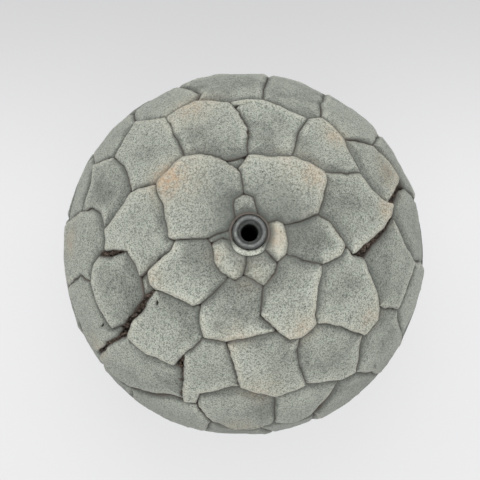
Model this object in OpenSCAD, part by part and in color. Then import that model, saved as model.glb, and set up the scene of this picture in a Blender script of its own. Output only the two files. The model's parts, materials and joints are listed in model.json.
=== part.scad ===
// A hand-built stoneware flower frog.
// Two pinched bowls are joined into a hollow ball, which stands on a flat clay foot.
// Torn slab pads of clay cover the ball, and a flared tube at the crown takes one stem.
// The table is z = 0, +Z is up, and the tube's axis is the Z axis.

/* [Ball] */
// Diameter over the clay pads
ball_d = 125; // [118:0.5:130]
// Height of the ball's centre above the table
centre_z = 54; // [50:0.5:56]
// Thickness of a clay pad
pad_t = 4; // [3:0.25:5]
// Wall thickness of the two bowls
wall_t = 4; // [3:0.25:6]
// Thickness of the foot under the lower bowl
foot_t = 4.5; // [3:0.5:6]
// Gap under the lowest pads, so that the ball stands on its foot
pad_lift_off = 1; // [0.5:0.25:2]

/* [Pads] */
// Radius of a pad's flattened outer face
face_r = 100; // [80:5:140]
// Radius of that face on the outer and the low pads, which follow the ball
outer_face_r = 70; // [64:1:100]
// How far the middle of a pad lies under the full ball
face_drop = 0.4; // [0:0.1:1]
// Seam between two pads that are pressed together
seam = 0.4; // [0.2:0.1:0.8]
// Rounding of a pad's corners
corner_r = 0.7; // [0.3:0.1:0.8]

/* [Neck] */
// Outer diameter of the stem tube
neck_d = 11.2; // [10.4:0.2:14]
// Bore of the stem tube
bore_d = 5.4; // [4:0.2:7]
// Diameter of the flared mouth
mouth_d = 7.6; // [7:0.1:9]
// Depth of the flare
flare_h = 3.2; // [2:0.2:5]
// Length of the stem tube
neck_len = 17; // [14:0.5:24]
// How far the tube stands above the full ball
neck_proud = 1.5; // [0.5:0.25:4]
// Thickness of the clay roll round the foot of the tube
collar_d = 1.4; // [1.2:0.1:2.4]

/* [Hidden] */
ball_r = ball_d / 2;
shell_r = ball_r - pad_t;
cavity_r = shell_r - wall_t;
top_z = centre_z + ball_r + neck_proud;
floor_z = foot_t + wall_t;
fit = 0.02;
collar_r = (neck_d + collar_d) / 2 + fit;
collar_z = centre_z + ball_r - collar_d / 2 + 0.1;
arc_steps = 96;
pad_steps = 180;
corner_steps = 16;

// A pad's sides are planes through the ball's centre, cut from a block between these two heights.
block_in = 0.76 * ball_r;
block_out = 1.12 * ball_r;

glaze = "#a2a49b";
pale_glaze = "#b4b3aa";
bare_clay = "#8f867a";

// Corners that pads share, as [azimuth, tilt from the crown] in degrees
corner = [
    // 0 to 6, under the tube
    [41, 4.4], [154, 4.6], [159, 4.4], [213, 4.6], [264, 4], [310, 4], [36, 4.2],
    // 7 to 31, round the crown pads
    [98, 12.1], [112, 11.4], [125, 8.1], [184, 10.5], [187, 13], [196, 12.2], [192, 8.6], [207, 12.6],
    [218, 14], [232, 14.8], [245, 15], [254, 15], [261, 13], [273, 14], [284, 17], [293, 15.6],
    [303, 14.2], [314, 12.3], [330, 13], [345, 12.3], [5, 11], [13, 11], [26, 8.9], [69, 7.2],
    [84, 10.9],
    // 32 to 56, between the inner and the middle pads, from north to south through west
    [97, 18.7], [100, 20.5], [108, 24.7], [120, 29.8], [129, 32.8], [135, 32.7], [150, 34],
    [156, 31], [161, 28.5], [168, 27], [175, 25.7], [182.5, 25], [185.5, 22.7], [184, 18.5],
    [191, 25], [199, 34.5], [205.5, 35.3], [210.5, 34], [220, 30.4], [233, 28.6], [235, 26.6],
    [239, 30.5], [246, 35.8], [258, 35.3], [271, 32.7],
    // 57 to 79, between the inner and the middle pads, from south to north through east
    [286, 31.6], [277.5, 25], [291, 36], [297, 37.3], [308, 36], [310, 33], [323, 27.5],
    [337, 25.5], [336, 21], [348.5, 30.2], [354, 31.4], [0, 29.3], [10, 26], [17, 22.3],
    [13, 16], [21, 23.3], [28, 26], [35, 30], [41, 31.4], [51, 30], [61, 28.8], [74, 25.7],
    [90, 25.3],
    // 80 to 109, round the middle pads, from west to east through north
    [200.5, 38.4], [209, 39.8], [158, 41.8], [154.5, 37.5], [125, 42], [123.5, 48], [122.5, 53],
    [126, 55.3], [131.5, 63.3], [139, 61], [146.5, 59], [148.5, 52], [152.5, 46.5], [89.5, 32.5],
    [90.5, 36.5], [94, 43], [97, 48.5], [110, 54.3], [116, 53.2], [84, 50.4], [70, 47.5],
    [63.5, 47.3], [64.5, 39.5], [59, 51.5], [46.3, 49.6], [39, 46.5], [30.5, 44.8], [33.8, 38.2],
    [22.5, 46], [15.5, 51],
    // 110 to 130, round the middle pads, from east to south
    [14, 54], [9, 50.7], [4, 45.5], [357, 38.7], [350.5, 34.3], [350.3, 39.6], [344.5, 43],
    [339, 47], [333, 52.2], [329, 54.4], [321, 53.3], [317, 45], [313, 39.3], [293.5, 41],
    [292, 48], [292.3, 56], [300, 60.2], [304, 63.7], [311, 65.7], [315, 60], [318, 55.8],
    // 131 to 161, round the middle pads, from south to west
    [280, 57.3], [267, 51.4], [263.5, 42], [241.5, 46.5], [260.5, 53.8], [252.5, 58.6],
    [252.6, 63.7], [248, 65], [245.5, 56.5], [243.3, 49.5], [241, 44.5], [243.5, 41],
    [239.5, 50.7], [228, 53.6], [218, 54.6], [215, 47.5], [212.3, 38], [212, 46], [214, 53],
    [212.5, 59.4], [204.5, 60.3], [193.5, 60], [188, 56.5], [185.5, 52.7], [187, 46.5],
    [186.5, 40.3], [194, 38.6], [184, 50], [184.5, 44.5], [175.5, 50.4], [169, 45.8],
    // 162 to 169, on the north-east strip and west of the middle pads
    [17, 55], [20.5, 59.5], [23.5, 65.5], [29.5, 65.2], [38.3, 62.2], [169, 54], [167, 59],
    [168, 65],
    // 170 to 200, round the outer pads
    [171.5, 80], [190.5, 66], [191.5, 80], [151, 70], [159, 66.5], [128.5, 80], [147, 84],
    [107, 58.5], [108, 64], [112, 80], [83.5, 60], [81.5, 84], [97, 83], [62, 60], [63, 84],
    [41.5, 82], [20.5, 70], [17, 84], [356, 84], [355.3, 68], [1, 58.7], [9.5, 52.8],
    [19.7, 62], [14.5, 56], [335, 57.5], [336.5, 63.7], [344, 64.4], [4.5, 49.3], [357, 42],
    [334, 68.5], [330.5, 84],
    // 201 to 224, round the outer pads of the south
    [315, 75], [317.5, 86], [301.5, 67.5], [292.5, 77.5], [294, 89], [279.5, 75.5],
    [286, 79.7], [258.5, 75], [265.5, 79.3], [272, 80.3], [217, 60.5], [216, 67], [216, 79.5],
    [223, 80.5], [231, 78.7], [237.5, 72], [243, 66.8], [242.8, 51], [204, 81], [214.8, 80],
    [214.8, 67], [216, 60], [232, 90], [258, 90]
];

// Each pad is [name, its corners in order, how far its face tips up in degrees,
// the side that tips up (0 is downhill, 90 is anticlockwise), how far it stands proud in mm].
// These pads meet the stem tube.
crown_pads = [
    ["pad_crown_n", [0, 30, 31, 7, 8, 9, 1], 2, 20, -0.15],
    ["pad_crown_e", [5, 24, 25, 26, 27, 28, 29, 6], 4, 0, 0.4],
    ["pad_crown_s", [4, 19, 20, 21, 22, 23, 24, 5], 2.5, 0, -0.1],
    ["pad_crown_sw", [3, 13, 12, 14, 15, 16, 17, 18, 19, 4], 4.5, -20, 0.3],
    ["pad_crown_w", [2, 10, 11, 12, 13, 3], 2, 0, -0.3],
    ["pad_inner_nw", [7, 32, 33, 34, 35, 36, 37, 38, 39, 40, 41, 42, 43, 44, 45, 11, 10, 2, 1, 9, 8],
        2.6, 10, 0.5],
    ["pad_inner_ne", [6, 29, 28, 71, 70, 72, 73, 74, 75, 76, 77, 78, 79, 33, 32, 7, 31, 30, 0],
        2.6, -15, 0.5]
];

// These pads cover the upper ball.
ring_pads = [
    ["pad_infill_n", [33, 79, 34], 1, 0, -0.6],
    ["pad_inner_e", [25, 65, 64, 66, 67, 68, 69, 70, 71, 28, 27, 26], 1.5, 0, 0],
    ["pad_inner_se", [21, 58, 57, 59, 60, 61, 62, 63, 64, 65, 25, 24, 23, 22], 3, -30, 0.3],
    ["pad_inner_s", [17, 52, 53, 54, 55, 56, 57, 58, 21, 20, 19, 18], 2.5, -10, 0.1],
    ["pad_inner_sw", [11, 45, 44, 46, 47, 48, 49, 50, 51, 52, 17, 16, 15, 14, 12], 2.5, -10, 0.3],
    ["pad_infill_w", [47, 80, 81, 49, 48], 0, 0, -0.6],
    ["pad_mid_wnw", [38, 83, 82, 161, 160, 158, 159, 156, 157, 80, 47, 46, 44, 43, 42, 41, 40, 39],
        1.5, -30, 0.1],
    ["pad_mid_nw", [36, 84, 85, 86, 87, 88, 89, 90, 91, 92, 82, 83, 38, 37], 2.5, -60, 0.2],
    ["pad_mid_nnw", [79, 93, 94, 95, 96, 97, 98, 86, 85, 84, 36, 35, 34], 3, -20, 0.3],
    ["pad_mid_nne", [77, 102, 101, 100, 99, 96, 95, 94, 93, 79, 78], 2, 0, 0.1],
    ["pad_mid_ne", [75, 107, 106, 105, 104, 103, 101, 102, 77, 76], 2.5, 0, 0.3],
    ["pad_strip_ene", [109, 162, 163, 164, 165, 166, 104, 105, 106, 108], 3, -20, 0.3],
    ["pad_mid_ene", [67, 114, 113, 112, 111, 110, 109, 108, 106, 107, 75, 74, 73, 72, 70, 69, 68],
        2.5, -40, 0.3],
    ["pad_mid_ese", [61, 122, 121, 120, 119, 118, 117, 116, 115, 114, 67, 66, 64, 63, 62],
        2.5, -20, 0.3],
    ["pad_mid_se", [60, 123, 124, 125, 126, 127, 128, 129, 130, 120, 121, 122, 61], 1.5, 0, 0],
    ["pad_mid_s", [55, 133, 132, 131, 125, 124, 123, 60, 59, 57, 56], 2.5, -30, 0.3],
    ["pad_mid_ssw", [54, 142, 141, 140, 139, 138, 137, 136, 135, 132, 133, 55], 3, -60, 0.3],
    ["pad_mid_sw", [49, 147, 146, 145, 144, 143, 141, 142, 54, 53, 52, 51, 50], 3, -20, 0.3],
    ["pad_mid_w", [156, 155, 154, 153, 152, 151, 150, 149, 148, 81, 80, 157], 2, -30, 0.2]
];

// These pads follow the ball's side down to the low courses.
outer_pads = [
    ["pad_outer_w", [160, 167, 168, 169, 170, 172, 171, 152, 153, 154, 158], 2.2, -20, 0.3],
    ["pad_outer_wnw", [82, 92, 91, 90, 173, 174, 169, 168, 167, 160, 161], 1.5, 0, 0.3],
    ["pad_outer_nw", [88, 175, 176, 173, 90, 89], 0.5, 0, 0.8],
    ["pad_rim_wnw", [173, 176, 170, 169, 174], 0.5, 0, 0.5],
    ["pad_outer_nnw", [97, 177, 178, 179, 175, 88, 87, 86, 98], 1, -90, 0.6],
    ["pad_outer_n", [99, 180, 181, 182, 179, 178, 177, 97, 96], 0.5, 0, 0.6],
    ["pad_outer_nne", [103, 183, 184, 181, 180, 99, 100, 101], 1, 90, 0.3],
    ["pad_outer_ne", [166, 185, 184, 183, 103, 104], 0.5, 0, 0.8],
    ["pad_rim_ene", [164, 186, 187, 185, 166, 165], 0, 0, 0.8],
    ["pad_outer_e", [189, 188, 187, 186, 192, 193, 191, 190], 1.5, 90, 0.2],
    ["pad_outer_ese", [118, 194, 195, 196, 189, 190, 191, 197, 198, 115, 116, 117], 1.5, 0, 0.4],
    ["pad_rim_ese", [195, 199, 200, 188, 189, 196], 1, 90, 0.6],
    ["pad_outer_se", [128, 201, 202, 200, 199, 195, 194, 118, 119, 120, 130, 129], 1, 0, 0.4],
    ["pad_outer_sse", [127, 203, 204, 205, 202, 201, 128], 1, 0, 0.6],
    ["pad_outer_s", [131, 206, 207, 204, 203, 127, 126, 125], 1.5, 0, 0.5],
    ["pad_outer_ssw", [136, 137, 208, 209, 210, 206, 131, 132, 135], 2.5, -40, 0.5],
    ["pad_outer_sw", [145, 211, 212, 213, 214, 215, 216, 217, 138, 139, 218, 143, 144], 2, -60, 0.3],
    ["pad_outer_wsw", [171, 172, 219, 220, 221, 222, 149, 150, 151, 152], 1, 0, 0.6],
    ["pad_rim_ssw", [215, 223, 224, 208, 137, 138, 217, 216], 0.5, 0, 0.9]
];

// Lower edge of the outer pads, which the first low course meets
rim_line = [
    [-4, 84], for (i = [187, 185, 184, 181, 182, 179, 175, 176, 170, 172, 219, 220, 213, 214, 215,
        223, 224, 208, 209, 210, 206, 207, 204, 205, 202, 200, 188]) corner[i], [377, 84]
];

// Seams of the three low courses of pads, as azimuths at the upper edge of the course
low_seams = [
    [12, 33, 53, 71, 96, 120, 146, 170, 203, 217, 235, 254, 275, 293, 308, 327, 349],
    [1, 25, 61, 85, 110, 133, 160, 189, 226, 244, 284, 318],
    [17, 46, 97, 126, 174, 211, 262, 298, 336]
];

// Tilt of each low course's lower edge, and how far the edge zigzags between the seams
low_tilt = [107, 130, 154];
zigzag = 3.2;
// How far a low seam leans sideways
lean = 6;

// Which pads of a course each low node holds, as [name, course, first pad, last pad]
low_groups = [
    ["low_course_1_ne", 0, 0, 4], ["low_course_1_nw", 0, 5, 7], ["low_course_1_sw", 0, 8, 12],
    ["low_course_1_se", 0, 13, 16], ["low_course_2_n", 1, 0, 3], ["low_course_2_w", 1, 4, 7],
    ["low_course_2_e", 1, 8, 11], ["low_course_3_n", 2, 0, 3], ["low_course_3_s", 2, 4, 8]
];

function toward(azimuth, tilt) =
    [sin(tilt) * cos(azimuth), sin(tilt) * sin(azimuth), cos(tilt)];

function total(points, i = 0) =
    i == len(points) - 1 ? points[i] : points[i] + total(points, i + 1);

function sorted(points) =
    len(points) < 2 ? points :
    let (pivot = points[0][0])
    concat(
        sorted([for (p = points) if (p[0] < pivot) p]),
        [for (p = points) if (p[0] == pivot) p],
        sorted([for (p = points) if (p[0] > pivot) p])
    );

// Azimuth of a low seam at the upper and at the lower edge of its course
function seam_top(course, i) =
    let (count = len(low_seams[course]))
    low_seams[course][i % count] + (i < count ? 0 : 360);

function seam_foot(course, i) =
    seam_top(course, i) + lean * sin(97 * (i % len(low_seams[course])));

// A low course's lower edge rises at its own seams and dips at those of the next course.
function low_line(course) =
    course == 2 ? [[-400, low_tilt[2]], [800, low_tilt[2]]] :
    sorted([
        for (turn = [-360, 0, 360])
            each concat(
                [for (i = [0:len(low_seams[course]) - 1])
                    [seam_foot(course, i) + turn, low_tilt[course] - zigzag * (1 + 0.4 * sin(61 * i))]],
                [for (i = [0:len(low_seams[course + 1]) - 1])
                    [seam_top(course + 1, i) + turn, low_tilt[course] + zigzag * (1 + 0.4 * sin(43 * i))]]
            )
    ]);

function line_above(course) = course == 0 ? rim_line : low_line(course - 1);

function between(line, from, to) =
    [for (p = line) if (p[0] > from + 1 && p[0] < to - 1) p];

function backwards(points) = [for (i = [len(points) - 1:-1:0]) points[i]];

// Outline of one low pad, anticlockwise from its upper corner at the smaller azimuth
function low_outline(course, i) =
    let (
        above = line_above(course),
        below = low_line(course),
        from = seam_top(course, i),
        to = seam_top(course, i + 1),
        from_low = seam_foot(course, i),
        to_low = seam_foot(course, i + 1)
    )
    concat(
        [[from, lookup(from, above)], [from_low, lookup(from_low, below)]],
        between(below, from_low, to_low),
        [[to_low, lookup(to_low, below)], [to, lookup(to, above)]],
        backwards(between(above, from, to))
    );

// One clay pad: an outline on the ball, with a flattened face that may tip up on one side.
// Both spheres lie on their sides, so that no pole falls on a pad's face.
module pad(outline, tip, side, proud, round_r = face_r) {
    directions = [for (p = outline) toward(p[0], p[1])];
    middle = total(directions);
    azimuth = atan2(middle[1], middle[0]);
    tilt = acos(middle[2] / norm(middle));
    axis = toward(azimuth, tilt);
    downhill = toward(azimuth, tilt + 90);
    across = toward(azimuth + 90, 90);
    flat = [for (d = directions) [d * downhill, d * across] * block_in / (d * axis)];
    shrink = block_in / ball_r;
    intersection() {
        translate([0, 0, centre_z])
            rotate([0, tilt, azimuth])
                difference() {
                    intersection() {
                        translate([0, 0, block_in])
                            linear_extrude(height = block_out - block_in, scale = block_out / block_in)
                                offset(r = corner_r * shrink, $fn = corner_steps)
                                    offset(delta = -(corner_r + seam / 2) * shrink)
                                        polygon(flat);
                        translate([0, 0, ball_r - face_drop + proud])
                            rotate([0, 0, side])
                                rotate([0, -tip, 0])
                                    translate([0, 0, -round_r])
                                        rotate([90, 0, 0]) sphere(r = round_r, $fn = pad_steps);
                    }
                    rotate([90, 0, 0]) sphere(r = shell_r + fit, $fn = pad_steps);
                }
        translate([-ball_d, -ball_d, pad_lift_off])
            cube([2 * ball_d, 2 * ball_d, 2 * ball_d]);
    }
}

module ring_pad(p) {
    color(glaze)
        pad([for (i = p[1]) corner[i]], p[2], p[3], p[4]);
}

module outer_pad(p) {
    color(glaze)
        pad([for (i = p[1]) corner[i]], p[2], p[3], p[4], outer_face_r);
}

// A crown pad runs under the clay roll to the tube, and stops at the middle of the roll above that.
module crown_pad(p) {
    color(pale_glaze)
        difference() {
            pad([for (i = p[1]) corner[i]], p[2], p[3], p[4]);
            translate([0, 0, centre_z])
                cylinder(r = neck_d / 2 + fit, h = ball_d, $fn = arc_steps);
            translate([0, 0, collar_z])
                cylinder(r = collar_r, h = ball_d, $fn = arc_steps);
            collar_ring(collar_d / 2 + fit);
        }
}

module low_pads(group) {
    course = group[1];
    color(glaze)
        for (i = [group[2]:group[3]])
            pad(low_outline(course, i), 0.6 + 0.5 * sin(131 * i), 60 * sin(47 * i), 0.2 * sin(83 * i) + 0.6,
                outer_face_r);
}

module shell_ball(radius) {
    translate([0, 0, centre_z])
        sphere(r = radius, $fn = arc_steps);
}

module slab(from_z, to_z) {
    translate([-ball_d / 2, -ball_d / 2, from_z])
        cube([ball_d, ball_d, to_z - from_z]);
}

module foot_disc() {
    color(bare_clay)
        intersection() {
            shell_ball(shell_r);
            slab(0, foot_t);
        }
}

module lower_bowl() {
    color(bare_clay)
        difference() {
            intersection() {
                shell_ball(shell_r);
                slab(foot_t, centre_z);
            }
            intersection() {
                shell_ball(cavity_r);
                slab(floor_z, centre_z + 1);
            }
        }
}

module upper_bowl() {
    color(bare_clay)
        difference() {
            intersection() {
                shell_ball(shell_r);
                slab(centre_z, centre_z + ball_r);
            }
            shell_ball(cavity_r);
            translate([0, 0, centre_z])
                cylinder(r = neck_d / 2 + fit, h = ball_r, $fn = arc_steps);
        }
}

module neck_tube() {
    lip_r = (neck_d - mouth_d) / 4;
    lip_z = top_z - lip_r;
    color(pale_glaze)
        difference() {
            union() {
                translate([0, 0, top_z - neck_len])
                    cylinder(d = neck_d, h = neck_len - lip_r, $fn = arc_steps);
                translate([0, 0, lip_z])
                    rotate_extrude($fn = arc_steps)
                        translate([neck_d / 2 - lip_r, 0])
                            circle(r = lip_r, $fn = 32);
            }
            translate([0, 0, top_z - neck_len - 1])
                cylinder(d = bore_d, h = neck_len + 2, $fn = arc_steps);
            translate([0, 0, lip_z - flare_h])
                cylinder(d1 = bore_d, d2 = mouth_d, h = flare_h + 0.01, $fn = arc_steps);
        }
}

// The clay roll is pressed into the corner between the tube and the crown pads.
module collar_ring(radius) {
    translate([0, 0, collar_z])
        rotate_extrude($fn = arc_steps)
            translate([collar_r, 0])
                circle(r = radius, $fn = 32);
}

module collar_coil() {
    color(pale_glaze)
        collar_ring(collar_d / 2);
}

foot_disc();
lower_bowl();
upper_bowl();
neck_tube();
collar_coil();
for (p = crown_pads) crown_pad(p);
for (p = ring_pads) ring_pad(p);
for (p = outer_pads) outer_pad(p);
for (g = low_groups) low_pads(g);
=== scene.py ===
import json
import math

import bmesh
import bpy
import numpy as np
from mathutils import Matrix, Vector
from mathutils.bvhtree import BVHTree


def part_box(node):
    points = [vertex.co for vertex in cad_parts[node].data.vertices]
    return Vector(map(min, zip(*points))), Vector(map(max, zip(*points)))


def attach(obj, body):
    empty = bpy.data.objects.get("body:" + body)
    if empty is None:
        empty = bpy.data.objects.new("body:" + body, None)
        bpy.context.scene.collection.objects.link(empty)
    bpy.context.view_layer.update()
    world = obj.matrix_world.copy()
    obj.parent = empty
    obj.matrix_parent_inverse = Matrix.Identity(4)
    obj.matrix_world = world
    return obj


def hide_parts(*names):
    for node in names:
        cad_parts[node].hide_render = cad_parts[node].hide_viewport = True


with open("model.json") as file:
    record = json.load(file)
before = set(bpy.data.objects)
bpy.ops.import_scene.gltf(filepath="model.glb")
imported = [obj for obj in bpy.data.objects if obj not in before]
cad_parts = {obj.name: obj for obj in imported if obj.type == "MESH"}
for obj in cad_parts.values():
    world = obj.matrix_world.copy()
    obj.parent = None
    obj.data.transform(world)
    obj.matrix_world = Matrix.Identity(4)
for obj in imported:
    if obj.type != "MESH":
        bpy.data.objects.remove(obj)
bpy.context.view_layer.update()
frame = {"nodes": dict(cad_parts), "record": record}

bl_info = {
    "name": "Stoneware Flower Frog",
    "version": (1, 0, 0),
    "blender": (4, 5, 0),
    "location": "3D View > Sidebar > Frog",
    "description": "Clay pads, stem tube, glaze and raw clay of a hand-built flower frog",
    "category": "Add Mesh",
}

MM = 0.001
MERGE = 1e-6
# The ball's centre, in metres, and the outer radius of the hollow ball under the pads, in mm
CENTRE_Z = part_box("upper_bowl")[0].z
CENTRE = np.array([0, 0, CENTRE_Z])
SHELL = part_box("upper_bowl")[1].x / MM
TUBE_LOW, TUBE_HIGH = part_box("neck_tube")
ROLL_LOW, ROLL_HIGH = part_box("collar_coil")
FOOT_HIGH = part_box("foot_disc")[1]
STEM_BORE = next(m for m in frame["record"]["mounts"] if m["name"] == "stem_bore")
BORE_R = STEM_BORE["dims"]["r_mm"]
# The tube's mouth: its radius where the flare ends, and how high the flare is, in mm
MOUTH_R = 3.8
FLARE = 3.2
# The roll's pale front, as an azimuth, and how far to each side it starts and ends fading
ROLL_FRONT = 265
ROLL_FADE = (28, 72)


def linear(code):
    """The linear colour of an sRGB hex code."""
    channels = [int(code[i:i + 2], 16) / 255 for i in (1, 3, 5)]
    return [c / 12.92 if c <= 0.04045 else ((c + 0.055) / 1.055) ** 2.4 for c in channels]


# ---------------------------------------------------------------- values a user may change


def colour(name, code, about):
    return bpy.props.FloatVectorProperty(
        name=name, description=about, subtype="COLOR", size=3, min=0, max=1,
        default=linear(code))


def length(name, size_mm, about):
    return bpy.props.FloatProperty(
        name=name, description=about, unit="LENGTH", default=size_mm * MM, min=0)


class FrogSizes(bpy.types.PropertyGroup):
    pad_thickness: length("Pad thickness", 4, "Thickness of a clay pad on the ball")
    net: length("Clay net", 0.45, "Size of the small faces that shape the upper pads")
    low_net: length("Low clay net", 0.6, "Size of the small faces that shape the low pads")
    edge_round: length("Edge rounding", 3.2, "How far a pad's pressed edge rounds over")
    crystal: length("Crystal size", 0.38, "Size of the pale crystals in the matt glaze")
    speck: length("Speck spacing", 1.5, "Spacing of the dark iron specks in the glaze")
    cloud: length("Glaze cloud size", 9, "Width of the pale and dark clouds in the glaze")
    grog: length("Grog size", 0.5, "Size of the coarse grains in the raw clay")


class FrogColours(bpy.types.PropertyGroup):
    # The thin glaze colour also serves as painted shade: in seam valleys, tucked edges, round the
    # tube and low on the front.
    dark_glaze: colour("Thin glaze and painted shade", "#5f635d", "Glaze where it is thin or lies low")
    mid_glaze: colour("Glaze", "#82887f", "Grey-green glaze between the crystals")
    crystal: colour("Crystals", "#c8ccc0", "Pale crystals in the glaze")
    cream: colour("Cream lips", "#dddaca", "Thick pale glaze on raised edges")
    flash: colour("Orange flash", "#dcb185", "Warm flash where the clay shows through the glaze")
    seam: colour("Seam", "#665d56", "Brown line where two pads meet")
    tube: colour("Tube glaze", "#5a5c5c", "Satin glaze on the stem tube")
    clay: colour("Raw clay", "#8a7c6c", "Unglazed stoneware of the bowls and the foot")
    # Dark torn clay, darkened further as painted shade in the open gaps; the bowls and crumbs seen
    # there take this colour too.
    torn: colour("Torn clay", "#3c332d", "Rough clay in the torn seams")
    floor: colour("Floor", "#c6c6c7", "Pale table under the frog")


# ---------------------------------------------------------------- small helpers


def place(name, mesh, material, slot, *nodes):
    """Links a finished mesh as a piece that stands for those CAD nodes."""
    piece = bpy.data.objects.new(name, mesh)
    bpy.context.scene.collection.objects.link(piece)
    mesh.materials.clear()
    mesh.materials.append(material)
    mesh.shade_smooth()
    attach(piece, "root")
    if nodes:
        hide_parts(*nodes)
    return piece


def vectors(mesh, name="co"):
    """The places or the normals of a mesh's points, as rows."""
    flat = np.zeros(len(mesh.vertices) * 3)
    mesh.vertices.foreach_get(name, flat)
    return flat.reshape(-1, 3)


def write_paint(mesh, paint):
    """Writes on the mesh what the glaze reads: named values, one for each point."""
    for name, values in paint.items():
        layer = mesh.attributes.new(name, "FLOAT", "POINT")
        layer.data.foreach_set("value", values.astype(np.float32))


def add(tree, kind, inputs=(), out=0, **settings):
    """Adds a shader node with its settings and links, and returns one of its outputs.
    An input is a value or another node's output."""
    node = tree.nodes.new("ShaderNode" + kind)
    for key, value in settings.items():
        setattr(node, key, value)
    for key, value in dict(inputs).items():
        if isinstance(value, bpy.types.NodeSocket):
            tree.links.new(value, node.inputs[key])
        else:
            node.inputs[key].default_value = value
    return node.outputs[out] if node.outputs else None


def new_material(name):
    """An empty material, its node tree, and Object coordinates in millimetres."""
    material = bpy.data.materials.new(name)
    material.use_nodes = True
    tree = material.node_tree
    tree.nodes.clear()
    where = add(tree, "TexCoord", out="Object")
    in_mm = add(tree, "VectorMath", {0: where, "Scale": 1 / MM}, operation="SCALE")
    return material, tree, in_mm


def covered(tree, base, *layers):
    """A base colour with layers over it. A layer has its colour, how it mixes, and the factors
    whose product says how much it covers."""
    body = base if isinstance(base, bpy.types.NodeSocket) else (*base, 1)
    for shade, how, factor, *others in layers:
        for other in others:
            factor = add(tree, "Math", {0: factor, 1: other}, operation="MULTIPLY")
        body = add(tree, "Mix", {0: factor, 6: body, 7: (*shade, 1)}, out=2,
                   data_type="RGBA", blend_type=how)
    return body


# ---------------------------------------------------------------- materials

# A value is read smoothly over a range: the value, where the range starts and ends, and what
# its start and its end become
RANGE = ("Value", "From Min", "From Max", "To Min", "To Max")
SMOOTH = {"interpolation_type": "SMOOTHSTEP"}


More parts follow.
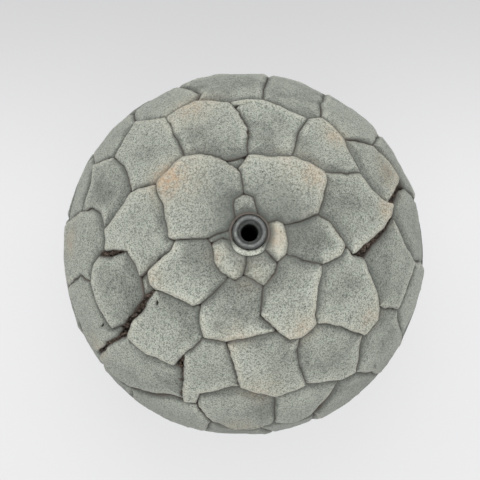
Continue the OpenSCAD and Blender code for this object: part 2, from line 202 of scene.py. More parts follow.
def glaze_material(name, sizes, colours, brightness, coarse=1.0):
    """Matt crystalline glaze on stoneware, poured and fired: pale crystals float in a grey-green
    ground, the glaze breaks dark and brown in the seams and pale cream on raised lips. Hollows,
    seam valleys, tucked edges, torn gaps, the ground round the tube and the low front are painted
    darker, partly as painted shade."""
    material, tree, where = new_material(name)
    lift, rim, warm, torn, tone, thin_and_shade, cream = (
        add(tree, "Attribute", out="Fac", attribute_name=paint)
        for paint in ("lift", "rim", "warm", "torn", "tone", "thin_and_shade", "cream"))
    # Real crystals are 0.1 to 0.3 mm. They are drawn as coarse as they need to be to show.
    fleck = coarse * sizes.crystal / MM
    cloud, fine_cloud, flecks, patches = (
        add(tree, "TexNoise", {"Vector": where, "Scale": 1 / size, "Detail": detail,
                               "Roughness": roughness})
        for size, detail, roughness in (
            (sizes.cloud / MM, 4, 0.6), (2.2, 3, 0.65), (fleck, 3, 0.8), (1.1, 1, 0.5)))
    pebbles, iron = (
        add(tree, "TexVoronoi", {"Vector": where, "Scale": 1 / size}, feature="F1")
        for size in (1.7 * fleck, sizes.speck / MM))
    # Thickness of the glaze: thick on raised ground, thin in hollows; hollows and tucked edges
    # come out darker, partly as painted shade. Grain: its crystals.
    thickness_and_shade = grain = 0.0
    for value, share in ((lift, 0.55), (cloud, 1.5), (fine_cloud, 0.5), (tone, 0.16)):
        thickness_and_shade = add(tree, "Math", {0: value, 1: share, 2: thickness_and_shade}, operation="MULTIPLY_ADD")
    for value, share in ((flecks, 1.3), (pebbles, -0.3)):
        grain = add(tree, "Math", {0: value, 1: share, 2: grain}, operation="MULTIPLY_ADD")
    (crystals, gaps, well_glazed_and_lit, crystal_share, raised, near_edge, lip_patches, flash_patches,
     specks, speck_patches, seam_valley_shade, low, on_seam, seam_patches, sunk_in_shade) = (
         add(tree, "MapRange", zip(RANGE, row), **SMOOTH) for row in (
         (grain, 0.36, 0.6, 0, 1), (grain, 0.36, 0.24, 0, 0.45),
         (thickness_and_shade, 0.35, 1.15, 0, 1), (thickness_and_shade, 0.4, 1.5, 0.4, 1),
         (lift, -0.25, 1.3, 0, 1), (rim, 0.05, 0.45, 0, 1), (fine_cloud, 0.3, 0.62, 0.35, 1),
         (fine_cloud, 0.38, 0.62, 0.35, 0.95), (iron, 0.26, 0.14, 0, 1),
         (patches, 0.42, 0.6, 0, 1), (rim, 0.12, 0.8, 0, 1), (lift, 0.5, -1.2, 0, 1),
         (rim, 0.72, 0.98, 0, 1), (fine_cloud, 0.3, 0.6, 0.45, 0.9), (lift, 0.25, -0.6, 0, 1)))
    lip_crystals, dull = (
        add(tree, "MapRange", zip(RANGE, (crystals, 0, 1, *ends)), **SMOOTH)
        for ends in ((0.5, 1.35), (0.56, 0.7)))
    # Lips carry the thickest glaze, and its crystals turn cream there.
    lip = raised
    for other in (near_edge, lip_patches, lip_crystals):
        lip = add(tree, "Math", {0: lip, 1: other}, operation="MULTIPLY")
    lip = add(tree, "Math", {0: lip, 1: cream}, operation="MAXIMUM")
    body = covered(
        tree, colours.dark_glaze,
        (colours.mid_glaze, "MIX", well_glazed_and_lit),
        (colours.crystal, "MIX", crystals, crystal_share),
        (colours.dark_glaze, "MULTIPLY", gaps),
        (colours.cream, "MIX", lip, 0.58),
        (colours.flash, "MIX", warm, flash_patches, 0.68),
        # Darker round the tube and low on the front: partly thin glaze, where the poured glaze ran
        # off the pads that dip towards the tube, and partly painted shade.
        (colours.dark_glaze, "MIX", thin_and_shade, 0.85),
        (colours.dark_glaze, "MULTIPLY", specks, speck_patches, 0.55),
        # Seams: the low ground beside a seam is painted dark, partly thin glaze and partly painted
        # shade in the valley, and the clay burns brown along the very edge.
        (colours.dark_glaze, "MIX", seam_valley_shade, low, 0.65),
        (colours.seam, "MIX", on_seam, seam_patches),
        # Torn seams: dark clay where the pad sinks into the gap, partly painted shade.
        (colours.torn, "MIX", torn, sunk_in_shade))
    shade = add(tree, "HueSaturation", {"Color": body, "Value": brightness})
    rough = add(tree, "Math", {0: torn, 1: 0.2, 2: dull}, operation="MULTIPLY_ADD")
    pimpled = add(tree, "Bump", {"Strength": 0.55, "Distance": 0.06 * MM, "Height": crystals})
    swelling = add(tree, "Bump", {"Strength": 0.6, "Distance": 0.12 * MM, "Height": fine_cloud,
                                  "Normal": pimpled})
    shader = add(tree, "BsdfPrincipled", {
        "Base Color": shade, "Roughness": rough, "IOR": 1.5, "Specular IOR Level": 0.35,
        "Normal": swelling})
    add(tree, "OutputMaterial", {"Surface": shader})
    return material


def tube_material(name, sizes, colours):
    """Satin glaze on a thrown tube: it breaks darker on the rim, with fine pale streaks that
    follow the turning, and painted shade makes the bore near black."""
    material, tree, where = new_material(name)
    stretched = add(tree, "Mapping", {"Vector": where, "Scale": (1, 1, 3.2)})
    streak = add(tree, "TexNoise", {"Vector": stretched, "Scale": 1 / 1.6, "Detail": 5,
                                    "Roughness": 0.65, "Distortion": 0.6})
    cells = add(tree, "TexVoronoi", {"Vector": where, "Scale": MM / sizes.crystal},
                feature="F1")
    level = add(tree, "VectorMath", {0: where, 1: (1, 1, 0)}, operation="MULTIPLY")
    radius = add(tree, "VectorMath", {0: level}, out="Value", operation="LENGTH")
    # The glaze breaks dark on the rim's inner and outer edge. Down the bore the colour is painted
    # near black, as painted shade.
    edge = TUBE_HIGH.x / MM
    pale, crystals, crystal_share, rim, ring_outside, ring_inside, in_bore, rough = (
        add(tree, "MapRange", zip(RANGE, row), **SMOOTH) for row in (
            (streak, 0.42, 0.72, 0, 1), (cells, 0.6, 0.15, 0, 1), (streak, 0.48, 0.75, 0, 0.5),
            (radius, edge - 0.8, edge - 0.15, 0, 0.85),
            (radius, MOUTH_R + 0.75, MOUTH_R + 0.2, 0, 1),
            (radius, MOUTH_R - 0.5, MOUTH_R + 0.1, 0, 1),
            (radius, BORE_R + 0.35, BORE_R + 0.05, 0, 1), (streak, 0.3, 0.7, 0.34, 0.5)))
    dark = tuple(c * 0.55 for c in colours.tube)
    # Near black, as painted shade in the bore.
    bore_shadow = tuple(c * 0.2 for c in dark)
    body = covered(
        tree, colours.tube,
        (colours.mid_glaze, "MIX", pale),
        (colours.crystal, "MIX", crystals, crystal_share),
        (dark, "MIX", rim),
        (dark, "MIX", ring_outside, ring_inside, 0.75),
        (bore_shadow, "MIX", in_bore))
    bump = add(tree, "Bump", {"Strength": 0.4, "Distance": 0.08 * MM, "Height": streak})
    shader = add(tree, "BsdfPrincipled", {
        "Base Color": body, "Roughness": rough, "IOR": 1.5, "Normal": bump})
    add(tree, "OutputMaterial", {"Surface": shader})
    return material


def clay_material(name, sizes, first, second):
    """Raw stoneware with grog: dull and dry, open coarse grains on a warm ground."""
    material, tree, where = new_material(name)
    patch = add(tree, "TexNoise", {"Vector": where, "Scale": 1 / 7, "Detail": 4,
                                   "Roughness": 0.6})
    grains, hollows = (
        add(tree, "TexVoronoi", {"Vector": where, "Scale": 1 / size}, feature="F1")
        for size in (sizes.grog / MM, 1.7))
    patched, pale, raised, pits, rough = (
        add(tree, "MapRange", zip(RANGE, row), **SMOOTH) for row in (
            (patch, 0.3, 0.7, 0, 1), (grains, 0.5, 0.1, 0, 0.35), (grains, 0.6, 0.1, 0, 1),
            (hollows, 0.2, 0.08, 0, 1), (patch, 0.3, 0.7, 0.8, 0.95)))
    body = covered(
        tree, first,
        (second, "MIX", patched),
        (linear("#b9ab98"), "MIX", pale),
        (linear("#2f2a26"), "MIX", pits, 0.6))
    height = add(tree, "Math", {0: raised, 1: pits}, operation="SUBTRACT")
    bump = add(tree, "Bump", {"Strength": 0.7, "Distance": 0.12 * MM, "Height": height})
    shader = add(tree, "BsdfPrincipled", {
        "Base Color": body, "Roughness": rough, "Specular IOR Level": 0.25, "Normal": bump})
    add(tree, "OutputMaterial", {"Surface": shader})
    return material


def table_material(name, colours):
    """Matt painted board, sprayed: a pale grey with a very faint mottling, with painted shade
    towards its back edge and a glow of its own, as painted light, that keeps the frog's shadow
    faint.
    """
    material, tree, where = new_material(name)
    mottle = add(tree, "TexNoise", {"Vector": where, "Scale": 1 / 60, "Detail": 3})
    dimmed, back_shade_colour = (tuple(c * share for c in colours.floor) for share in (0.985, 0.74))
    # Painted shade: the board darkens gently towards its back edge.
    across = add(tree, "SeparateXYZ", {0: where}, out="Y")
    back_shade = add(tree, "MapRange", zip(RANGE, (across, 15, 130, 0, 1)), **SMOOTH)
    board = covered(tree, colours.floor, (dimmed, "MIX", mottle), (back_shade_colour, "MIX", back_shade))
    # The board's own colour is dimmed, and its glow makes up the brightness.
    face = covered(tree, board, ((0, 0, 0), "MIX", 0.68))
    # Painted light: the board glows, as though lit through from below, so the shadow stays faint.
    shader = add(tree, "BsdfPrincipled", {
        "Base Color": face, "Emission Color": board, "Emission Strength": 1.16,
        "Roughness": 0.9, "Specular IOR Level": 0.1})
    add(tree, "OutputMaterial", {"Surface": shader})
    return material


# ---------------------------------------------------------------- clay pads

# Places are given as [azimuth, tilt from the crown] in degrees.
# Seams that tore open as the pads were pressed on
TORN = [
    [[210.5, 34], [213.5, 53.5]], [[217, 57], [216, 66], [216.5, 77.5]],
    [[350.5, 34], [357, 40], [9, 51]], [[23.5, 65.5], [15.5, 51]],
    [[241, 44.5], [248, 65]], [[252.5, 63.7], [258.5, 74.5]],
    [[259.5, 36], [267, 51.3]], [[126, 55], [124, 45]], [[150.5, 36], [157, 42]],
    [[97, 48.5], [94, 42.3], [90.3, 36], [88.8, 33.3]], [[184.5, 52.7], [186, 40.3]],
    [[171.5, 76], [167, 60]], [[120, 29.7], [101, 20.3]], [[50, 30], [35, 29], [21, 23]],
    [[186.5, 22.5], [199, 34.5]], [[277.5, 25], [286, 31.5]], [[333.5, 52], [335, 60]],
    [[151.5, 70.5], [148, 60]],
]
# The first of them opened wide enough to show crumbs of clay.
OPEN_SEAMS = TORN[:12]
# Where the clay flashed warm, as [azimuth, tilt, radius in mm, strength]
WARM = [
    [145, 31, 6, 1.0], [138, 28, 8, 0.35], [44, 27, 5, 0.55], [55, 26, 8, 0.2], [352, 8, 4, 0.45],
    [270, 13, 5, 0.2], [215, 12, 3, 0.3], [112, 51, 8, 0.4], [50, 47, 5, 0.45], [26, 60, 7, 0.35],
    [12, 49, 4, 0.5], [300, 34, 5, 0.35], [262, 33, 5, 0.25], [275, 53, 7, 0.25],
    [328, 50, 5, 0.3], [268, 76, 6, 0.3], [178, 72, 5, 0.45], [214, 74, 5, 0.3], [203, 33, 4, 0.3],
]
# Where the glaze was poured thin, as [azimuth, tilt, radius in mm, strength]
THIN = [[15, 17, 9, 0.4], [112, 21, 7, 0.22], [158, 31, 8, 0.2]]
# Slits and pits poked in the clay, as [[azimuth, tilt], …, half width in mm, depth in mm]
SLITS = [
    [[320, 46], [322.5, 43], 0.7, 1.6], [[317, 74], [318, 71], 0.5, 1.2],
    [[209, 62], [209.5, 64.5], 0.5, 1.2], [[216.5, 36.5], [217, 37.2], 0.7, 1.2],
    [[186.5, 12.4], [190, 10.6], 0.45, 1.1], [[192, 8.8], [200, 7.3], [208, 6.5], 0.4, 1.1],
    [[7, 9.1], [354, 9.4], [341, 10], 0.4, 0.8],
    [[95, 46], [90, 47.5], 1.2, 1.6], [[294, 82], [294, 84.5], 0.5, 1.2],
]
# How far, in mm, a pad's points look for its side wall, for torn seams and for slits
WALL_REACH = 4.0
TORN_REACH = 32
SLIT_REACH = 25
# A torn seam's influence fades over this distance, in mm.
TORN_FADE = 1.9
# A face that turns this little towards the ball's centre is a side wall, and a point whose
# normal turns in by more than this is on the pad's underside.
SIDE_WALL = 0.6
UNDERSIDE = -0.5
# How deep a pressed edge rounds over, for each mm that it reaches inwards, and how sharply
EDGE_DEPTH, EDGE_CURVE = 0.23, 2.2
# The lip along a raised edge: its height, how far in it runs and its width, in mm
LIP_HEIGHT, LIP_IN, LIP_WIDTH = 0.28, 1.5, 0.9
# Pressed pads are pushed into each other by about this much, in mm, which closes their seams.
PRESS = 0.27
# The pads in the thick glaze of the crown
CROWN = ("pad_crown", "pad_inner_nw", "pad_inner_ne")
# Crumbs scattered round each point of an open seam
CRUMBS_AT_A_POINT = 4
# The one field in which all pads sway: how far, how wide its waves are, in mm, and its seed
SWAYS = ((0.5, 5, 401), (0.22, 2.2, 411))
# The clay near the tube doesn't sway; the sway grows between these distances from it, in mm.
SWAY_FROM, SWAY_FULL = 6.5, 10
# The glaze is painted darker as far from the tube as this, in mm: partly thin glaze, partly
# painted shade.
DARK_ROUND_TUBE = 16.5


def on_ball(azimuth, tilt, radius):
    a, t = math.radians(azimuth), math.radians(tilt)
    return np.array([math.sin(t) * math.cos(a), math.sin(t) * math.sin(a), math.cos(t)]) * radius


def along(corners, radius, spacing=0.6):
    """Points along a bent line on the ball, about that far apart, in mm."""
    points = [on_ball(*c, radius) for c in corners]
    line = []
    for start, end in zip(points, points[1:]):
        count = max(2, int(np.linalg.norm(end - start) / spacing))
        line += [start + (end - start) * i / count for i in range(count + 1)]
    line = np.array(line)
    return line / np.linalg.norm(line, axis=1)[:, None] * radius


def near(points, line):
    """Distance from each point to the nearest point of a line."""
    return np.sqrt(((points[:, None, :] - line[None, :, :]) ** 2).sum(2).min(1))


def chance(cell, seed):
    """A steady random number from 0 to 1 for each lattice cell. The large odd numbers only
    scramble its bits."""
    x, y, z = (cell[:, i].astype(np.uint64) for i in range(3))
    n = x * np.uint64(73856093) ^ y * np.uint64(19349663) ^ z * np.uint64(83492791)
    n = (n ^ np.uint64(seed * 7919 + 13)) * np.uint64(2654435761)
    n = (n ^ (n >> np.uint64(15))) * np.uint64(2246822519)
    return ((n >> np.uint64(9)) & np.uint64(0xFFFFF)).astype(float) / 0xFFFFF


def unevenness(points, size, seed):
    """Smooth noise from -1 to 1, with lumps of that size in mm."""
    q = points / size + 1000.0
    base = np.floor(q).astype(np.int64)
    f = q - base
    f = f * f * (3 - 2 * f)
    total = np.zeros(len(points))
    for corner in np.ndindex(2, 2, 2):
        weight = np.prod(np.where(corner, f, 1 - f), axis=1)
        total += weight * chance(base + np.array(corner), seed)
    return 2 * total - 1


def step(values, low, high):
    """Values taken smoothly from 0 at low to 1 at high."""
    x = np.clip((values - low) / (high - low), 0, 1)
    return x * x * (3 - 2 * x)


def spots(points, table, radius_on_ball):
    """How strongly each round spot of a table reaches each point."""
    for azimuth, tilt, radius, strength in table:
        spot = on_ball(azimuth, tilt, radius_on_ball)
        yield strength * np.exp(-(((points - spot) ** 2).sum(1) / radius ** 2))


def loose_parts(node):
    """The solids of a CAD node, each as its own merged mesh."""
    whole = bmesh.new()
    whole.from_mesh(frame["nodes"][node].data)
    bmesh.ops.remove_doubles(whole, verts=whole.verts, dist=MERGE)
    whole.verts.ensure_lookup_table()
    owner = [-1] * len(whole.verts)
    count = 0
    for vert in whole.verts:
        if owner[vert.index] < 0:
            queue = [vert]
            owner[vert.index] = count
            while queue:
                for edge in queue.pop().link_edges:
                    for end in edge.verts:
                        if owner[end.index] < 0:
                            owner[end.index] = count
                            queue.append(end)
            count += 1
    parts = []
    for i in range(count):
        part = whole.copy()
        others = [v for v, o in zip(part.verts, owner) if o != i]
        bmesh.ops.delete(part, geom=others, context="VERTS")
        parts.append(part)
    whole.free()
    return parts


def even_net(solid, size):
    """The solid as an even net of small faces."""
    mesh = bpy.data.meshes.new("clay")
    solid.to_mesh(mesh)
    block = bpy.data.objects.new("clay", mesh)
    bpy.context.scene.collection.objects.link(block)
    modifier = block.modifiers.new("net", "REMESH")
    modifier.mode = "VOXEL"
    modifier.voxel_size = size
    shaped = block.evaluated_get(bpy.context.evaluated_depsgraph_get())
    net = bpy.data.meshes.new_from_object(shaped)
    bpy.data.objects.remove(block)
    bpy.data.meshes.remove(mesh)
    return net


def wall_distances(solid, points, facing):
    """Distance in mm from points to the solid's side walls, and the way out through the wall.
    Points on the pad's underside are left out."""
    centre = Vector((0, 0, CENTRE_Z))
    walls = [f for f in solid.faces
             if abs(f.normal.dot((f.calc_center_median() - centre).normalized())) < SIDE_WALL]
    corners = [tuple(v.co) for v in solid.verts]
    solid.verts.index_update()
    tree = BVHTree.FromPolygons(corners, [[v.index for v in f.verts] for f in walls])
    distance = np.full(len(points), WALL_REACH)
    outward = np.zeros((len(points), 3))
    for i, point in enumerate(points):
        if facing[i] > UNDERSIDE:
            hit, normal, _, gap = tree.find_nearest(Vector(point), WALL_REACH * MM)
            if hit is not None:
                distance[i] = gap / MM
                outward[i] = normal
    return distance, outward


def torn_and_slit(points, ball):
    """How torn the clay is at each point, from 0 to 1, and how deep a slit cuts it, in mm."""
    torn, slit = np.zeros(len(points)), np.zeros(len(points))
    middle = points.mean(0)
    for corners in TORN:
        line = along(corners, ball - 1)
        if np.linalg.norm(line - middle, axis=1).min() < TORN_REACH:
            torn = np.maximum(torn, np.exp(-(near(points, line) / TORN_FADE) ** 2))
    for *corners, half, depth in SLITS:
        line = along(corners, ball, 0.3)
        if np.linalg.norm(line - middle, axis=1).min() < SLIT_REACH:
            slit += depth * (1 - step(near(points, line), half * 0.3, half))
    return torn, slit


def thin_glaze_and_shade(points, ball):
    """How dark the glaze is painted at each point: round the tube, most of all behind it, partly
    thin glaze and partly painted shade; in a few spots of thin glaze; and low on the front, as
    painted shade."""
    # Round the tube the glaze is painted darker, partly thin glaze and partly painted shade where
    # the pads dip towards it.
    from_tube = np.hypot(points[:, 0], points[:, 1])
    behind = step(points[:, 1], -9, 3)
    thin_and_shade = (0.25 + 0.75 * behind) * np.exp(-(from_tube / DARK_ROUND_TUBE) ** 2)
    for spot in spots(points, THIN, ball):
        thin_and_shade = thin_and_shade + spot
    # Painted shade low on the front.
    thin_and_shade = thin_and_shade + 0.4 * step(-points[:, 1], 20, 50) * step(-points[:, 2], -30, -8)
    return np.minimum(thin_and_shade, 1)


def shaped_pad(solid, sizes, net_size, seed, bulge=0.0):
    """One hand-pressed pad: rounded uneven edges, a soft swelling face, torn walls and slits.
    Returns its mesh and what the glaze reads. Lengths are in mm from the ball's centre."""
    net = even_net(solid, net_size)
    raw = vectors(net)
    points = (raw - CENTRE) / MM
    height = np.linalg.norm(points, axis=1)
    up = points / height[:, None]
    facing = (vectors(net, "normal") * up).sum(1)
    thickness = sizes.pad_thickness / MM
    ball = SHELL + thickness
    gap, outward = wall_distances(solid, raw, facing)
    solid.free()
    torn, slit = torn_and_slit(points, ball)

    # Only the pad's outer part is shaped; its underside stays on the bowl.
    outer = np.clip((height - SHELL) / thickness, 0, 1.1) ** 2
    face = step(facing, 0.1, 0.8)
    # A pressed edge rounds over; how much differs along it.
    rounding = sizes.edge_round / MM * (1 + 0.4 * unevenness(points, 6, seed))
    rounding = rounding * (1 - 0.65 * torn)
    inside = 1 - np.clip(gap / rounding, 0, 1)
    drop = rounding * EDGE_DEPTH * inside ** EDGE_CURVE
    # The face swells in lumps of three sizes, and a bulging pad rises in its middle.
    rise = 0.30 * unevenness(points, 9, seed + 1) + 0.12 * unevenness(points, 3.2, seed + 2)
    rise += 0.06 * unevenness(points, 1.1, seed + 3) * face
    rise += bulge * (step(gap, 0, 4) - 0.35)
    # The lip is the ridge that a finger leaves beside a raised edge.
    proud = step(height - ball, -0.9, 0.7)
    ridge = np.exp(-((gap - LIP_IN) / LIP_WIDTH) ** 2)
    rise += LIP_HEIGHT * proud * ridge * (1 + 0.5 * unevenness(points, 4, seed + 4))
    ragged = 0.35 * unevenness(points, 1.3, seed + 5) + 0.25 * unevenness(points, 0.7, seed + 6)
    rise += torn * ragged
    moved = up * ((rise - drop - slit * face) * outer)[:, None]
    # Pressed pads touch, which closes the seam; torn walls stay apart and ragged.
    pressed = (torn - 1) * (PRESS + 0.04 * unevenness(points, 4.5, seed + 7))
    ragged = torn * (0.5 * unevenness(points, 1.1, seed + 8) - 0.3)
    inset = pressed * np.exp(-gap / 0.7) + ragged * np.exp(-gap / 0.8)
    moved -= outward * (inset * step(height, SHELL + 0.5, SHELL + 2))[:, None]
    # All pads sway in one common field, so that the seams wander and stay closed.
    sway = np.stack([sum(far * unevenness(points, width, seeds + axis)
                         for far, width, seeds in SWAYS) for axis in range(3)], axis=1)
    sway -= up * (sway * up).sum(1)[:, None]
    from_tube = np.hypot(points[:, 0], points[:, 1])
    moved += sway * step(from_tube, SWAY_FROM, SWAY_FULL)[:, None]
    points = points + moved
    net.vertices.foreach_set("co", (points * MM + CENTRE).ravel())

    # The pads lap like shingles: the downhill edge stands up pale, and the uphill edge is tucked
    # in and painted darker, as painted shade under the pad above it.
    flat = np.hypot(up[:, 0], up[:, 1])[:, None] + 1e-9
    downhill = np.hstack([up[:, :2] * up[:, 2:] / flat, -flat])
    side = (outward * downhill).sum(1)
    lip = step(side, 0.0, 0.8) * np.exp(-(gap / 3.4) ** 2)
    tucked_shade = step(-side, 0.0, 0.8) * np.exp(-(gap / 3.0) ** 2)
    pooled = np.exp(-((gap - 2.2) / 1.6) ** 2) * bulge ** 3
    paint = {
        # Height of the face, its pale lips, and the painted shade of its tucked edges
        "lift": np.linalg.norm(points, axis=1) - ball + lip - 0.9 * tucked_shade,
        "rim": np.exp(-gap / 1.3),
        "warm": np.maximum.reduce([*spots(points, WARM, ball)]),
        "torn": np.maximum(torn * np.exp(-gap / 0.75), np.clip(slit, 0, 1)),
        # Painted darker round the tube and low on the front, partly thin glaze and partly painted
        # shade.
        "thin_and_shade": thin_glaze_and_shade(points, ball) * (1 - min(bulge, 1)),
        "cream": pooled * (0.8 + 0.3 * unevenness(points, 1.6, seed + 9)),
        # Each pad took the glaze a little differently.
        "tone": np.full(len(points), math.sin(seed * 12.9898)),
    }
    return net, paint


def clay_pads(nodes, material, slot, sizes, net_size, bulges=()):
    """Makes the pads of some CAD nodes, and puts each where its node is."""
    for node in nodes:
        joined, paints = bmesh.new(), []
        for i, solid in enumerate(loose_parts(node)):
            seed = sum(map(ord, node)) + 37 * i
            net, paint = shaped_pad(solid, sizes, net_size, seed, dict(bulges).get(node, 0.0))
            joined.from_mesh(net)
            bpy.data.meshes.remove(net)
            paints.append(paint)
        mesh = finished(joined, "glazed_" + node)
        write_paint(mesh, {name: np.concatenate([p[name] for p in paints])
                           for name in paints[0]})
        place("glazed_" + node, mesh, material, slot, node)


def nodes_named(start, *without):
    """The CAD nodes whose names start so, in order."""
    return [n for n in sorted(frame["nodes"]) if n.startswith(start) and not n.startswith(without)]


class FROG_OT_crown_pads(bpy.types.Operator):
    """Makes the small pads round the stem tube and the two big ones behind it"""
    bl_idname = "frog.crown_pads"
    bl_label = "Crown pads"
    bl_options = {"REGISTER", "UNDO"}

    def execute(self, context):
        sizes, colours = context.scene.frog_sizes, context.scene.frog_colours
        glaze = glaze_material(
            "Thick matt crystalline glaze, poured", sizes, colours, 0.87, 1.12)
        clay_pads(nodes_named(CROWN), glaze, "crown_glaze", sizes, sizes.net, {
            "pad_crown_e": 1.0, "pad_crown_sw": 0.6, "pad_crown_s": 0.5, "pad_crown_n": 0.3})
        return {"FINISHED"}


class FROG_OT_ring_pads(bpy.types.Operator):
    """Makes the rings of pads that cover the rest of the upper ball"""
    bl_idname = "frog.ring_pads"
    bl_label = "Ring pads"
    bl_options = {"REGISTER", "UNDO"}

    def execute(self, context):
        sizes, colours = context.scene.frog_sizes, context.scene.frog_colours
        glaze = glaze_material("Matt crystalline glaze, poured", sizes, colours, 0.9)
        clay_pads(nodes_named("pad_", *CROWN), glaze, "pad_glaze", sizes, sizes.net)
        return {"FINISHED"}


class FROG_OT_low_pads(bpy.types.Operator):
    """Makes the three low courses of pads"""
    bl_idname = "frog.low_pads"
    bl_label = "Low pads"
    bl_options = {"REGISTER", "UNDO"}

    def execute(self, context):
        sizes, colours = context.scene.frog_sizes, context.scene.frog_colours
        glaze = glaze_material("Matt crystalline glaze, dipped", sizes, colours, 0.9)
        clay_pads(nodes_named("low_course"), glaze, "pad_glaze", sizes, sizes.low_net)
        return {"FINISHED"}


# ---------------------------------------------------------------- tube, roll, torn clay, body


def spun(profile, steps):
    """A closed profile of [radius, height] in mm, spun about the Z axis."""
    shape = bmesh.new()
    ring = [shape.verts.new((r * MM, 0, z * MM)) for r, z in profile]
    edges = [shape.edges.new((a, b)) for a, b in zip(ring, ring[1:] + ring[:1])]
    bmesh.ops.spin(shape, geom=ring + edges, cent=(0, 0, 0), axis=(0, 0, 1),
                   angle=2 * math.pi, steps=steps, use_merge=True)
    bmesh.ops.remove_doubles(shape, verts=shape.verts, dist=MERGE)
    bmesh.ops.recalc_face_normals(shape, faces=shape.faces)
    return shape


def uneven(shape, size, amount, seed, hold=None):
    """Moves a shape's points a little along their normals, as hand work leaves them."""
    shape.normal_update()
    points = np.array([v.co for v in shape.verts]) / MM
    moves = amount * unevenness(points, size, seed)
    for vert, move in zip(shape.verts, moves):
        if hold is None or not hold(vert.co):
            vert.co += vert.normal * (move * MM)


def finished(shape, name):
    mesh = bpy.data.meshes.new(name)
    shape.to_mesh(mesh)
    shape.free()
    return mesh


class FROG_OT_stem_tube(bpy.types.Operator):
    """Makes the flared stem tube"""
    bl_idname = "frog.stem_tube"
    bl_label = "Stem tube"
    bl_options = {"REGISTER", "UNDO"}

    def execute(self, context):
        sizes, colours = context.scene.frog_sizes, context.scene.frog_colours
        outer, low, high = TUBE_HIGH.x / MM, TUBE_LOW.z / MM, TUBE_HIGH.z / MM
        lip = (outer - MOUTH_R) / 2
        # Up the bore, out along the flare, over the rounded rim and down the outside.
        # Straight walls are cut into short lengths, so that they can be uneven.
        profile = [[BORE_R, low]]
        profile += [[BORE_R, high - FLARE - lip - 10 + 2 * i] for i in range(5)]
        for i in range(9):
            share = i / 8
            profile.append([BORE_R + (MOUTH_R - BORE_R) * share ** 1.5,
                            high - lip - FLARE * (1 - share)])
        for i in range(1, 12):
            turn = math.pi * (1 - i / 12)
            profile.append([outer - lip + lip * math.cos(turn), high - lip + lip * math.sin(turn)])
        profile += [[outer, high - lip - i * 1.6] for i in range(10)] + [[outer, low]]
        tube = spun(profile, 144)
        in_bore = lambda co: math.hypot(co.x, co.y) < (BORE_R + 0.15) * MM
        uneven(tube, 2.6, 0.07, 5, in_bore)
        uneven(tube, 1.0, 0.035, 6, in_bore)
        place("glazed_stem_tube", finished(tube, "stem_tube"),
              tube_material("Satin glaze on a thrown tube", sizes, colours),
              "neck_glaze", "neck_tube")
        return {"FINISHED"}


def in_front(points):
    """1 in front of the tube, where the roll stands up pale, and 0 behind it."""
    azimuths = np.degrees(np.arctan2(points[:, 1], points[:, 0]))
    start, end = ROLL_FADE
    return step(-np.abs((azimuths - ROLL_FRONT + 180) % 360 - 180), -end, -start)


class FROG_OT_clay_roll(bpy.types.Operator):
    """Makes the soft clay roll pressed round the foot of the tube"""
    bl_idname = "frog.clay_roll"
    bl_label = "Clay roll"
    bl_options = {"REGISTER", "UNDO"}

    def execute(self, context):
        sizes, colours = context.scene.frog_sizes, context.scene.frog_colours
        radius = (ROLL_HIGH.z - ROLL_LOW.z) / 2 / MM
        middle = ROLL_HIGH.x / MM - radius
        level = (ROLL_HIGH.z + ROLL_LOW.z) / 2 / MM
        turns = [2 * math.pi * i / 16 for i in range(16)]
        roll = spun([[middle + radius * math.cos(turn), level + radius * math.sin(turn)]
                     for turn in turns], 160)
        # The roll is widened and raised in front, and worked away into the pads on its far side.
        front_of = in_front(np.array([v.co for v in roll.verts]))
        for vert, front in zip(roll.verts, front_of):
            way_out = Vector((vert.co.x, vert.co.y, 0)).normalized()
            core = way_out * (middle * MM) + Vector((0, 0, level * MM))
            across = (vert.co - core).dot(way_out)
            rise = vert.co.z - core.z
            across = across * (0.62 + 0.75 * front) + 0.42 * front * MM
            rise = rise * (0.6 + 0.2 * front) + (0.75 * front - 0.8) * MM
            vert.co = core + way_out * across + Vector((0, 0, rise))
        uneven(roll, 2.4, 0.12, 11)
        uneven(roll, 0.9, 0.05, 12)
        mesh = finished(roll, "clay_roll")
        front = in_front(vectors(mesh))
        # Behind the tube the roll is painted darker, partly thin glaze and partly painted shade,
        # like the pads there.
        write_paint(mesh, {"lift": 1.7 * front - 1.2, "rim": 0.95 - 0.75 * front,
                           "thin_and_shade": 1 - 0.95 * front, "tone": front, "cream": 0.25 * front})
        place("glazed_clay_roll", mesh,
              glaze_material("Pale matt glaze on a clay roll", sizes, colours, 1.05),
              "neck_glaze", "collar_coil")
        return {"FINISHED"}


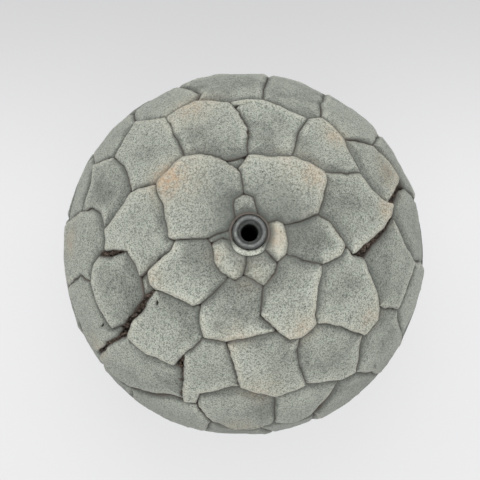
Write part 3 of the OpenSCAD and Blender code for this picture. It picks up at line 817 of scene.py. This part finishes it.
class FROG_OT_torn_clay(bpy.types.Operator):
    """Makes the crumbs of torn clay that fill the open seams"""
    bl_idname = "frog.torn_clay"
    bl_label = "Torn clay"
    bl_options = {"REGISTER", "UNDO"}

    def execute(self, context):
        sizes, colours = context.scene.frog_sizes, context.scene.frog_colours
        chooser = np.random.default_rng(20)
        crumbs = bmesh.new()
        points = [p for corners in OPEN_SEAMS for p in along(corners, SHELL, 0.35)
                  for _ in range(CRUMBS_AT_A_POINT)]
        for point in points:
            size = chooser.uniform(0.35, 0.8)
            spot = point + chooser.normal(0, 0.75, 3)
            spot *= (SHELL + chooser.uniform(0.3, 3.1)) / np.linalg.norm(spot)
            turn = Matrix.Rotation(chooser.uniform(0, 6.3), 4, Vector(chooser.normal(0, 1, 3)))
            stretch = Matrix.Diagonal((*chooser.uniform(0.6, 1.3, 3) * size * MM, 1))
            here = Matrix.Translation(Vector(spot * MM) + Vector((0, 0, CENTRE_Z)))
            bmesh.ops.create_icosphere(crumbs, subdivisions=1, radius=1,
                                       matrix=here @ turn @ stretch)
        # The crumbs take the dark torn colour, partly painted shade in the gap.
        clay = clay_material("Torn stoneware crumbs, fired", sizes,
                             tuple(colours.torn), tuple(c * 2.4 for c in colours.torn))
        place("torn_clay_crumbs", finished(crumbs, "torn_clay"), clay, "bare_clay")
        return {"FINISHED"}


def pinched_bowl(node):
    """A bowl of the hollow ball. Clay is pressed up between the pads, except in torn seams."""
    solid, = loose_parts(node)
    net = even_net(solid, 1.3 * MM)
    solid.free()
    points = (vectors(net) - CENTRE) / MM
    height = np.linalg.norm(points, axis=1)
    pressed = 1.9 * step(height, SHELL - 1.2, SHELL - 0.4)
    # The bowl's rims and the foot's seat stay flat.
    level = points[:, 2] * MM + CENTRE_Z
    pressed *= step(level, FOOT_HIGH.z + 2 * MM, FOOT_HIGH.z + 6 * MM)
    pressed *= step(np.hypot(points[:, 0], points[:, 1]), 7, 10)
    for corners in TORN:
        pressed *= step(near(points, along(corners, SHELL, 1.0)), 1.5, 3.5)
    lumps = 0.25 * unevenness(points, 2.2, 71) + 0.2 * unevenness(points, 5, 72)
    away = pressed + lumps * (pressed > 0)
    on_rim = (np.abs(points[:, 2]) < 0.8) & (height < SHELL - 0.5)
    points += points / height[:, None] * np.where(on_rim, 0, away)[:, None]
    net.vertices.foreach_set("co", (points * MM + CENTRE).ravel())
    return net


class FROG_OT_clay_body(bpy.types.Operator):
    """Gives the two bowls their dark clay, partly painted shade in the open gaps, gives the foot
    its raw clay, and shapes the foot
    """
    bl_idname = "frog.clay_body"
    bl_label = "Clay body"
    bl_options = {"REGISTER", "UNDO"}

    def execute(self, context):
        sizes, colours = context.scene.frog_sizes, context.scene.frog_colours
        raw = tuple(colours.clay)
        dark = tuple(c * 0.7 for c in raw)
        # The bowls show only in the open gaps, and are painted dark there, partly as painted
        # shade.
        gap_shaded_clay = clay_material("Pinched stoneware bowl, painted dark as gap shade", sizes,
                               tuple(colours.torn), tuple(c * 1.6 for c in colours.torn))
        for node in ("lower_bowl", "upper_bowl"):
            place("luted_" + node, pinched_bowl(node), gap_shaded_clay, "bare_clay", node)
        high, wide, centre = FOOT_HIGH.z / MM, FOOT_HIGH.x / MM, CENTRE_Z / MM
        base = math.sqrt(SHELL ** 2 - centre ** 2)
        # Two shallow trimming rings, the softened edge, the ball's curve and the flat top
        profile = [[0.4, 0], [7, 0.02], [7.6, 0.18], [8.2, 0.02],
                   [13, 0], [13.6, 0.2], [14.2, 0.02]]
        profile += [[base - 2, 0], [base - 0.7, 0.08], [base, 0.45]]
        for i in range(1, 7):
            z = high * i / 6
            profile.append([math.sqrt(SHELL ** 2 - (centre - z) ** 2), z])
        profile += [[wide - 8, high], [0.4, high]]
        foot = spun(profile, 180)
        uneven(foot, 3, 0.1, 15, lambda co: co.z < 0.5 * MM)
        place("raw_clay_foot", finished(foot, "foot"),
              clay_material("Raw stoneware foot, trimmed", sizes, dark, raw),
              "bare_clay", "foot_disc")
        return {"FINISHED"}


# Each soft light's name, place in metres, width in metres and power in watts
LIGHTS = (
    ("soft_box_back", (-0.1, 0.6, 0.95), 0.9, 4.2),
    ("soft_box_top", (0.05, 0.0, 1.3), 1.2, 5.0),
    ("soft_box_front", (0.0, -0.75, 0.8), 0.9, 2.2),
)
ROOM_LIGHT = 0.55
# The camera looks almost straight down: how far it is tipped and turned, in degrees, how far
# away it is, how wide it sees there, and how far its aim is off the ball's centre, in metres
CAMERA_TIP, CAMERA_TURN = 7.2, 14.3
CAMERA_DISTANCE, CAMERA_WIDTH = 0.9, 0.168
AIM_LEFT, AIM_UP = 1.23 * MM, 5.08 * MM
SENSOR_MM = 36


class FROG_OT_stage(bpy.types.Operator):
    """Sets up the pale table, the soft light and the camera"""
    bl_idname = "frog.stage"
    bl_label = "Stage"
    bl_options = {"REGISTER", "UNDO"}

    def execute(self, context):
        scene = context.scene
        table = bmesh.new()
        bmesh.ops.create_grid(table, x_segments=8, y_segments=8, size=3)
        floor = bpy.data.objects.new("table", finished(table, "table"))
        scene.collection.objects.link(floor)
        floor.data.materials.append(table_material("Matt painted board", scene.frog_colours))

        world = bpy.data.worlds.new("soft room")
        world.use_nodes = True
        room = world.node_tree.nodes["Background"].inputs
        room["Color"].default_value = (1, 1, 1, 1)
        room["Strength"].default_value = ROOM_LIGHT
        scene.world = world
        for name, place_at, size, power in LIGHTS:
            light = bpy.data.lights.new(name, "AREA")
            light.shape, light.size, light.energy = "DISK", size, power
            lamp = bpy.data.objects.new(name, light)
            scene.collection.objects.link(lamp)
            lamp.location = place_at
            aim = Vector((0, 0, CENTRE_Z)) - lamp.location
            lamp.rotation_euler = aim.to_track_quat("-Z", "Y").to_euler()

        tip, turn = math.radians(CAMERA_TIP), math.radians(CAMERA_TURN)
        back = Vector((-math.sin(tip) * math.sin(turn), -math.sin(tip) * math.cos(turn),
                       math.cos(tip)))
        right = (Vector((1, 0, 0)) - back * back.x).normalized()
        above = back.cross(right)
        aim = Vector((0, 0, CENTRE_Z)) - right * AIM_LEFT + above * AIM_UP
        data = bpy.data.cameras.new("camera")
        data.sensor_width = SENSOR_MM
        data.lens = SENSOR_MM * CAMERA_DISTANCE / CAMERA_WIDTH
        camera = bpy.data.objects.new("camera", data)
        scene.collection.objects.link(camera)
        camera.matrix_world = Matrix((
            (right.x, above.x, back.x, 0), (right.y, above.y, back.y, 0),
            (right.z, above.z, back.z, 0), (0, 0, 0, 1)))
        camera.location = aim + back * CAMERA_DISTANCE
        scene.camera = camera
        scene.view_settings.view_transform = "Standard"
        return {"FINISHED"}


# ---------------------------------------------------------------- panel and registration


PIECES = (FROG_OT_crown_pads, FROG_OT_ring_pads, FROG_OT_low_pads, FROG_OT_stem_tube,
          FROG_OT_clay_roll, FROG_OT_torn_clay, FROG_OT_clay_body, FROG_OT_stage)


class FROG_PT_panel(bpy.types.Panel):
    """Lists the frog's sizes, colours and pieces"""
    bl_label = "Flower frog"
    bl_idname = "FROG_PT_panel"
    bl_space_type = "VIEW_3D"
    bl_region_type = "UI"
    bl_category = "Frog"

    def draw(self, context):
        for group in (context.scene.frog_sizes, context.scene.frog_colours):
            box = self.layout.box()
            for name in group.bl_rna.properties.keys():
                if name not in {"rna_type", "name"}:
                    box.prop(group, name)
        for piece in PIECES:
            self.layout.operator(piece.bl_idname)


CLASSES = (FrogSizes, FrogColours, *PIECES, FROG_PT_panel)


def register():
    for each in CLASSES:
        bpy.utils.register_class(each)
    bpy.types.Scene.frog_sizes = bpy.props.PointerProperty(type=FrogSizes)
    bpy.types.Scene.frog_colours = bpy.props.PointerProperty(type=FrogColours)


def unregister():
    del bpy.types.Scene.frog_sizes, bpy.types.Scene.frog_colours
    for each in reversed(CLASSES):
        bpy.utils.unregister_class(each)


def main():
    register()
    bpy.ops.frog.crown_pads()
    bpy.ops.frog.ring_pads()
    bpy.ops.frog.low_pads()
    bpy.ops.frog.stem_tube()
    bpy.ops.frog.clay_roll()
    bpy.ops.frog.torn_clay()
    bpy.ops.frog.clay_body()
    bpy.ops.frog.stage()


if __name__ == "__main__":
    main()
